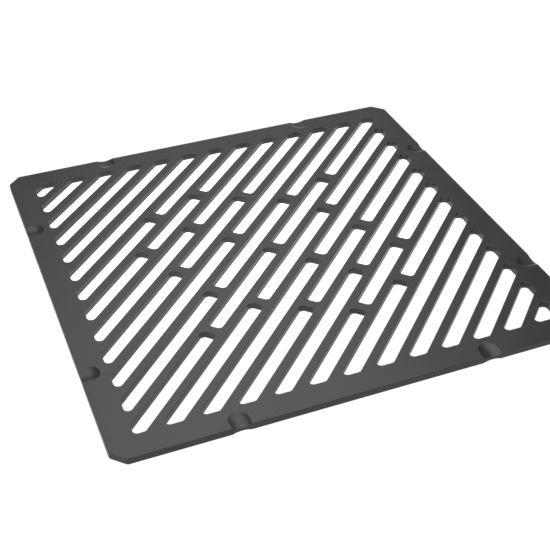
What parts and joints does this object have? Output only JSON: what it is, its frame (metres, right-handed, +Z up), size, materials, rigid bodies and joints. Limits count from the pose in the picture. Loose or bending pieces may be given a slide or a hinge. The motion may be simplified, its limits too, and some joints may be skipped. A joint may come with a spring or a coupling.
{
  "type": "fire pit cooking grate",
  "caption": "Flat square cast cooking grate for a fire pit or fire basket, with diagonal slots between bars and half-round seats in the rim of both faces.",
  "frame": {"origin": "middle of the underside, at the height of the surface that the grate lies on", "axes": "+Z up through the thickness, +X and +Y along the sides; the slots run along the diagonal from the (-X, -Y) corner to the (+X, +Y) corner"},
  "size_m": [0.4, 0.4, 0.006],
  "materials": {
    "black_cast_iron": "matt black, fine cast surface"
  },
  "bodies": {
    "root": {"grate": "black_cast_iron"}
  },
  "joints": []
}
